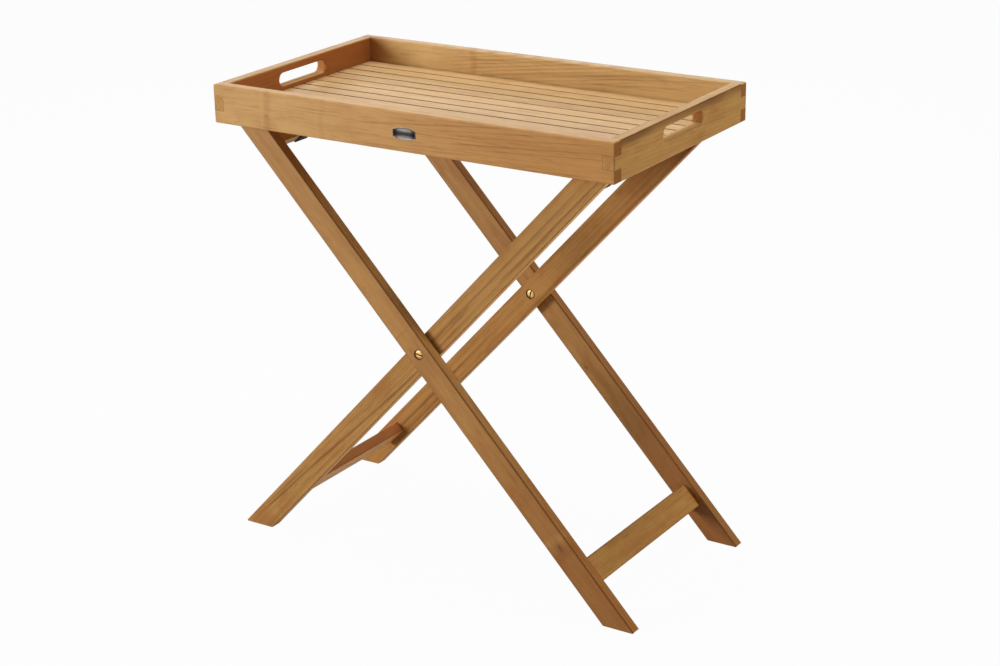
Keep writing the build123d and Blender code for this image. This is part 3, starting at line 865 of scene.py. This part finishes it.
class TRAY_OT_plate(bpy.types.Operator):
    """Make the blank barrel-shaped plate of the front rail, with a raised rim"""

    bl_idname = "tray_table.plate"
    bl_label = "Front plate"

    def execute(self, context):
        fittings = context.scene.tray_fittings
        low, high = (Vector(corner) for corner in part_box("front_plate"))
        middle = (low + high) / 2
        half_x, half_z = (high.x - low.x) / 2, (high.z - low.z) / 2
        bow = half_z - fittings.plate_end / 2
        form = half_x, half_z, (half_x * half_x + bow * bow) / (2 * bow)
        rim, face, back = fittings.plate_rim, low.y, high.y
        levels = ((0.0, back), (0.0, face + 0.00032), (0.00012, face + 0.0001), (0.0004, face), (rim, face),
                  (rim + 0.0003, face + 0.00028), (rim + 0.0012, face + 0.0003), (0.0050, face + 0.00024))
        rings = [[(middle.x + x, y, middle.z + z) for x, z in self.outline(*form, inset)]
                 for inset, y in levels]
        tips = (middle.x, back, middle.z), (middle.x, face + 0.00022, middle.z)
        mesh = ringed("blank_plate", rings, tips, True, True)
        piece = add_object("blank_plate", mesh, self.pewter(middle, *form, fittings))
        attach(piece, "tray")
        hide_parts("front_plate")
        return {"FINISHED"}

    def outline(self, half_x, half_z, radius, inset):
        """Points round the plate, a set way in from its edge: two bowed edges and two straight ends."""
        long_steps, end_steps = 32, 8
        reach = half_x - inset

        def bowed(x):
            return math.sqrt((radius - inset) ** 2 - x * x) - (radius - half_z)

        half = []
        for step in range(long_steps):
            x = reach - 2 * reach * step / long_steps
            half.append((x, bowed(x)))
        top = bowed(reach)
        half += [(-reach, top - 2 * top * step / end_steps) for step in range(end_steps)]
        return half + [(-x, -z) for x, z in half]

    def pewter(self, middle, half_x, half_z, radius, fittings):
        """Brushed pewter: a dark middle band that pales towards the top and bottom as a painted highlight,
        ends darkened as a painted reflection, and a groove inside the rim.
        """
        rim = fittings.plate_rim
        paint = Paint("plate_pewter", Metallic=1.0)
        here = paint.vector("SUBTRACT", paint.coordinates(), tuple(middle))
        x, _, z = paint.parts(here)
        climb = abs(z) + (radius - half_z)
        from_arc = radius - paint.away(x, climb)
        from_edge = paint.least(from_arc, half_x - abs(x))
        brushed = paint.noise(here, (70.0, 300.0, 1300.0), 9.0, 3.0)
        # Painted highlight: the field pales from its dark middle towards the top and bottom
        painted_shading = paint.rise(abs(z) + (brushed - 0.5) * 0.006, 0.0010, 0.0070)
        fine = paint.noise(here, (1500.0, 600.0, 2600.0), 5.0, 2.0)
        field = paint.rise(from_edge, rim, rim + 0.0005)
        shade = paint.mix(painted_shading, PLATE_DARK, PLATE_PALE)
        # Painted reflection: the ends of the plate are darkened
        shade = paint.mix(paint.rise(abs(x), 0.0085, 0.0165) * 0.85, shade, PLATE_END_REFLECTION)
        shade = paint.mix(1.0 - field, shade, fittings.pewter)
        groove = paint.fall(abs(from_edge - rim - 0.0003), 0.0002, 0.0005)
        shade = paint.mix(groove * 0.7, shade, PLATE_GROOVE)
        rough = 0.30 + field * 0.06 + fine * 0.16
        return paint.finish(shade, rough, brushed + fine * 0.4, 0.4, 0.0001)


class TRAY_OT_legs(bpy.types.Operator):
    """Finish the four crossing legs"""

    bl_idname = "tray_table.legs"
    bl_label = "Legs"

    def execute(self, context):
        for node, board in LEG_BOARDS.items():
            dress_in_wood(node, board, "leg")
        return {"FINISHED"}


class TRAY_OT_cross_rails(bpy.types.Operator):
    """Finish the top rails and the stretchers between the legs"""

    bl_idname = "tray_table.cross_rails"
    bl_label = "Cross rails"

    def execute(self, context):
        seed = 151.0
        for frame_name, side in (("outer", 1), ("inner", -1)):
            for part, station in (("top_rail", -TOP_STATION), ("stretcher", FOOT_STATION)):
                centre = (side * station * math.sin(LEAN), 0, PIVOT.z - station * math.cos(LEAN))
                turn = (0, side * OUTER_TURN[1], QUARTER_TURN[2])
                node = f"{frame_name}_{part}"
                board = Board(centre, turn, CROSS_HALF, "Z", seed, (0.04, 0.10), slope=0.02, ring=0.0080,
                              figure=0.14, strand=0.24, fibre=0.32, mottle=0.60, flecks=0.18, edge=0.35,
                              tint=(0.98, 1.00, 1.00), gloss=0.08)
                if node == "inner_stretcher":
                    # The wide faces are painted paler as painted light, the narrow faces darker as painted
                    # shade
                    board.tint, board.side = (1.45, 1.41, 1.04), even_side(0.59, 0.46, 0.70)
                    # The dark bands at both ends are painted shade where the stretcher meets the legs
                    board.marks = ((-0.141, 0.030, 0.40), (0.141, 0.030, 0.40))
                elif node == "outer_top_rail":
                    # The top rail is painted darker and redder as shade, its narrow faces paler as painted
                    # light
                    board.tint, board.side = (0.98, 0.74, 0.58), even_side(1.02, 1.33, 1.60)
                dress_in_wood(node, board, "leg")
                seed += 9.0
        return {"FINISHED"}


class TRAY_OT_pivots(bpy.types.Operator):
    """Finish the brass sleeves, screws and washers the legs turn on"""

    bl_idname = "tray_table.pivots"
    bl_label = "Pivots"

    def execute(self, context):
        for part, slot_turn in (("sleeve", -8.0), ("screw", 78.0), ("washer", None)):
            finish = self.turned_brass(f"brass_{part}", context.scene.tray_fittings.brass, slot_turn)
            for end in ("front", "back"):
                dress(NODES[f"pivot_{part}_{end}"].data, finish)
        return {"FINISHED"}

    def turned_brass(self, name, brass, slot_turn):
        """Brass with turning marks and a little tarnish, and painted shade round the head's rim and in the
        driver slot.
        """
        paint = Paint(name, Metallic=1.0)
        here = paint.vector("SUBTRACT", paint.coordinates(), tuple(PIVOT))
        x, y, z = paint.parts(here)
        spread = paint.away(x, z)
        lines = paint.noise(paint.join(spread, y * 0.02, 0.0), (3800.0, 1.0, 1.0), 3.0)
        stain = paint.noise(here, (260.0, 260.0, 260.0), 6.0, 3.0)
        shade = paint.mix(paint.rise(stain, 0.42, 0.72) * 0.35, brass, TARNISH)
        # Painted shade round the head's rim
        shade = paint.mix(paint.rise(spread, 0.0054, 0.0066) * 0.35, shade, HEAD_RIM_SHADE)
        rough = 0.40 + lines * 0.12 + stain * 0.12
        if slot_turn is not None:
            turn = math.radians(slot_turn)
            off = abs(z * math.cos(turn) - x * math.sin(turn))
            # Painted shade in the driver slot
            slot = paint.fall(off, 0.0009, 0.0013) * paint.fall(spread, 0.0060, 0.0066)
            shade = paint.mix(slot * 0.85, shade, SLOT_SHADE)
            rough = rough + slot * 0.4
        return paint.finish(shade, rough, lines, 0.25, 0.00004)


def corner_points(side):
    """Corners of a top rail that a strap goes round, highest first, in X and Z."""
    down = Vector((side * math.sin(LEAN), -math.cos(LEAN)))
    out = Vector((side * math.cos(LEAN), math.sin(LEAN)))
    middle = Vector((0, PIVOT.z)) - down * TOP_STATION
    signs = ((-1, 1), (-1, -1), (1, -1), (1, 1))
    return [middle + down * (a * CROSS_HALF[0]) + out * (b * CROSS_HALF[1]) for a, b in signs]


def wrap_path(side, lift):
    """Middle line of a strap end round its rail, in X and Z, from the span to its cut end."""
    corner_steps, step_length = 6, 0.004
    corners = corner_points(side)
    middle = sum(corners, Vector((0, 0))) / 4
    path = []
    facing = Vector((0, 1))
    for index, corner in enumerate(corners):
        last = index == 3
        after = corners[(index + 1) % 4]
        edge = (after - corner).normalized()
        normal = Vector((-edge.y, edge.x))
        if normal.dot(corner - middle) < 0:
            normal = -normal
        bend = facing.angle_signed(normal)
        for step in range(corner_steps + 1):
            spin = Matrix.Rotation(-bend * step / corner_steps, 2)
            path.append(corner + spin @ facing * lift)
        facing = normal
        end = after - edge * STRAP_TAIL if last else after
        start, finish = corner + normal * lift, end + normal * lift
        pieces = max(2, round((finish - start).length / step_length))
        for step in range(1, pieces + 1 if last else pieces):
            path.append(start.lerp(finish, step / pieces))
    return path


def band(name, path, near, far, thickness):
    """Webbing along a path in X and Z, from y = near to y = far, with a UV map in metres, and its length."""
    half, round_steps = thickness / 2, 6
    section = []
    for middle, start in ((near + half, math.pi / 2), (far - half, -math.pi / 2)):
        for step in range(round_steps + 1):
            angle = start + math.pi * step / round_steps
            section.append((middle + half * math.cos(angle), half * math.sin(angle)))
    rows, run = [], [0.0]
    for index, point in enumerate(path):
        before, after = path[max(index - 1, 0)], path[min(index + 1, len(path) - 1)]
        ahead = (after - before).normalized()
        normal = Vector((-ahead.y, ahead.x))
        if index:
            run.append(run[-1] + (point - before).length)
        rows.append([(point.x + normal.x * rise, y, point.y + normal.y * rise) for y, rise in section])
    mesh = ringed(name, rows, smooth_sides=True)
    weave = mesh.uv_layers.new(name="weave")
    for loop in mesh.loops:
        spot = mesh.vertices[loop.vertex_index]
        weave.data[loop.index].uv = (run[spot.index // len(section)], spot.co.y)
    return mesh, run[-1]


def black_webbing(name):
    """Woven webbing: ribs along the strap, crossing yarns with painted shade in their hollows, and a little
    dust.
    """
    straps = bpy.context.scene.tray_straps
    paint = Paint(name, Specular_IOR_Level=0.15, Sheen_Weight=0.10, Sheen_Roughness=0.5)
    here = paint.coordinates()
    u, v, _ = paint.parts(paint.node("ShaderNodeUVMap", {"uv_map": "weave"}))
    warp = paint.fraction(v / straps.rib)
    every_other = paint.rise(paint.fraction(v / (2 * straps.rib)), 0.49, 0.51)
    weft = paint.fraction(u / (straps.rib * 0.8) + 0.5 * every_other)
    crown = 1.0 - abs(warp - 0.5) * 2.0
    pick = 1.0 - abs(weft - 0.5) * 2.0
    height = crown ** 0.6 * 0.6 + pick ** 0.7 * 0.4
    fuzz = paint.noise(here, (700.0, 700.0, 700.0), 4.0, 3.0)
    # The hollows of the weave are painted darker: painted shade
    shade = paint.mix(height * 0.5 + fuzz * 0.25, WEAVE_HOLLOW_SHADE, straps.yarn)
    dust = paint.rise(paint.noise(here, (24.0, 60.0, 24.0), 8.0, 3.0), 0.50, 0.80)
    shade = paint.mix(dust * 0.25, shade, DUST)
    return paint.finish(shade, 0.70 + fuzz * 0.2 - pick * 0.08, height, 0.6, 0.0003)


class TRAY_OT_straps(bpy.types.Operator):
    """Make the webbing straps: a wrap round each top rail, the span between them and the tacks"""

    bl_idname = "tray_table.straps"
    bl_label = "Straps"

    def execute(self, context):
        straps = context.scene.tray_straps
        lift = straps.clearance + straps.thickness / 2
        webbing = black_webbing("black_webbing")
        steel = bright_steel("tack_steel")
        tree = fastener_row_tree()
        head = add_object("tack_pattern", tack_head("tack_pattern", straps.tack))
        for end, label in ((-1, "front"), (1, "back")):
            low, high = sorted((end * straps.inset, end * (straps.inset - straps.width)))
            self.span(straps, label, low, high, lift, webbing)
            for side, frame_name in ((1, "outer"), (-1, "inner")):
                name = f"strap_{label}_{frame_name}"
                body = f"{frame_name}_frame"
                path = wrap_path(side, lift)
                mesh, long = band(name + "_wrap", path, low, high, straps.thickness)
                wrap = add_object(name + "_wrap", mesh, webbing)
                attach(wrap, body)
                out = Vector((side * math.cos(LEAN), 0, math.sin(LEAN)))
                spot = path[-1] - (path[-1] - path[-2]).normalized() * TACK_TO_END
                spot = Vector((spot.x, 0, spot.y)) + out * (straps.thickness / 2)
                first = spot + Vector((0, low + TACK_TO_EDGE, 0))
                last = spot + Vector((0, high - TACK_TO_EDGE, 0))
                turn = (0, side * INNER_TURN[1], 0)
                row = fastener_row(tree, head, straps.tacks, first, last, turn, steel)
                tacks = add_object(name + "_tacks", joined(name + "_wrap_tacks", [row]))
                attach(tacks, body)
        bpy.data.objects.remove(head)
        return {"FINISHED"}

    def span(self, straps, label, low, high, lift, webbing):
        """Taut straight webbing from one top rail to the other, in place of the packed strap."""
        steps = 96
        top = corner_points(1)[0]
        level = top.y + lift
        line = [Vector((top.x - 2 * top.x * step / steps, level)) for step in range(steps + 1)]
        mesh, long = band(f"strap_{label}_span", line, low, high, straps.thickness)
        span = add_object(f"strap_{label}_span", mesh, webbing)
        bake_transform(span)
        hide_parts(f"strap_{label}")


class TRAY_OT_stage(bpy.types.Operator):
    """Set the floor, the lamps, the background and the camera"""

    bl_idname = "tray_table.stage"
    bl_label = "Stage"

    def execute(self, context):
        stage = context.scene.tray_stage
        shape = bmesh.new()
        bmesh.ops.create_grid(shape, x_segments=1, y_segments=1, size=9.0)
        floor = add_object("floor", as_mesh("floor", shape), self.floor_finish(stage))
        self.background(context.scene, stage)
        for name, setting in LAMPS.items():
            self.lamp(name, getattr(stage, name), *setting)
        self.camera(context.scene)
        context.scene.view_settings.view_transform = "Standard"
        return {"FINISHED"}

    def floor_finish(self, stage):
        """Pale matt floor that the camera sees as white, with the table's shadow still on it."""
        paint = Paint("floor_paint", Base_Color=(0.50, 0.50, 0.50, 1.0), Roughness=0.9)
        glow = paint.node("ShaderNodeEmission", None, {"Color": tuple(stage.floor) + (1.0,), "Strength": 1.0})
        camera = paint.node("ShaderNodeLightPath", give="Is Camera Ray")
        glossy = paint.node("ShaderNodeLightPath", give="Is Glossy Ray")
        matt = Wire(paint, paint.shader.outputs[0])
        both = paint.node("ShaderNodeMixShader", None, {0: camera * 0.97 + glossy * 0.5, 1: matt, 2: glow})
        paint.tree.links.new(both.socket, paint.result.inputs["Surface"])
        return paint.material

    def background(self, scene, stage):
        """White to the camera, and a low even light on the table."""
        world = bpy.data.worlds.new("studio")
        world.use_nodes = True
        tree = world.node_tree
        tree.nodes.clear()
        result = tree.nodes.new("ShaderNodeOutputWorld")
        mix = tree.nodes.new("ShaderNodeMixShader")
        path = tree.nodes.new("ShaderNodeLightPath")
        tree.links.new(path.outputs["Is Camera Ray"], mix.inputs[0])
        for place, shade, strength in ((1, WHITE, stage.sky), (2, tuple(stage.floor), 1.0)):
            glow = tree.nodes.new("ShaderNodeBackground")
            glow.inputs["Color"].default_value = shade + (1.0,)
            glow.inputs["Strength"].default_value = strength
            tree.links.new(glow.outputs[0], mix.inputs[place])
        tree.links.new(mix.outputs[0], result.inputs["Surface"])
        scene.world = world

    def lamp(self, name, energy, place, target, width, height):
        """Lamp that lights the table and isn't seen itself."""
        lamp = bpy.data.lights.new(name, "AREA")
        lamp.shape = "RECTANGLE"
        lamp.size, lamp.size_y = width, height
        lamp.energy = energy
        stand = add_object(name, lamp)
        stand.location = place
        stand.rotation_euler = (Vector(target) - Vector(place)).to_track_quat("-Z", "Y").to_euler()
        stand.visible_camera = False

    def camera(self, scene):
        """Camera fitted to the table's own edges."""
        place = (1.731586, -2.632450, 1.507476)
        right = Vector((0.843206, 0.537337, -0.016513))
        up = Vector((-0.172582, 0.299656, 0.938308))
        lens = bpy.data.cameras.new("camera")
        lens.sensor_fit = "HORIZONTAL"
        lens.sensor_width = 36.0
        lens.lens = 76.905
        lens.clip_end = 30.0
        view = add_object("camera", lens)
        turn = Matrix((right, up, right.cross(up))).transposed().to_4x4()
        view.matrix_world = Matrix.Translation(place) @ turn
        scene.camera = view


class VIEW3D_PT_tray_table(bpy.types.Panel):
    """Sidebar panel that lists the pieces and their settings"""

    bl_label = "Tray table"
    bl_space_type = "VIEW_3D"
    bl_region_type = "UI"
    bl_category = "Tray table"

    def draw(self, context):
        for operator in OPERATORS:
            self.layout.operator(operator.bl_idname)
        for group, kind in GROUPS.items():
            box = self.layout.box()
            for name in kind.__annotations__:
                box.prop(getattr(context.scene, group), name)


GROUPS = {"tray_wood": WoodColours, "tray_straps": StrapSizes, "tray_fittings": FittingSizes,
          "tray_stage": StageSettings}
OPERATORS = (TRAY_OT_rails, TRAY_OT_slats, TRAY_OT_battens, TRAY_OT_plate, TRAY_OT_legs, TRAY_OT_cross_rails,
             TRAY_OT_pivots, TRAY_OT_straps, TRAY_OT_stage)


def register():
    for group, kind in GROUPS.items():
        bpy.utils.register_class(kind)
        setattr(bpy.types.Scene, group, PointerProperty(type=kind))
    for operator in OPERATORS:
        bpy.utils.register_class(operator)
    bpy.utils.register_class(VIEW3D_PT_tray_table)


def unregister():
    bpy.utils.unregister_class(VIEW3D_PT_tray_table)
    for operator in reversed(OPERATORS):
        bpy.utils.unregister_class(operator)
    for group, kind in reversed(list(GROUPS.items())):
        delattr(bpy.types.Scene, group)
        bpy.utils.unregister_class(kind)


def main():
    register()
    bpy.ops.tray_table.rails()
    bpy.ops.tray_table.slats()
    bpy.ops.tray_table.battens()
    bpy.ops.tray_table.plate()
    bpy.ops.tray_table.legs()
    bpy.ops.tray_table.cross_rails()
    bpy.ops.tray_table.pivots()
    bpy.ops.tray_table.straps()
    bpy.ops.tray_table.stage()


if __name__ == "__main__":
    main()
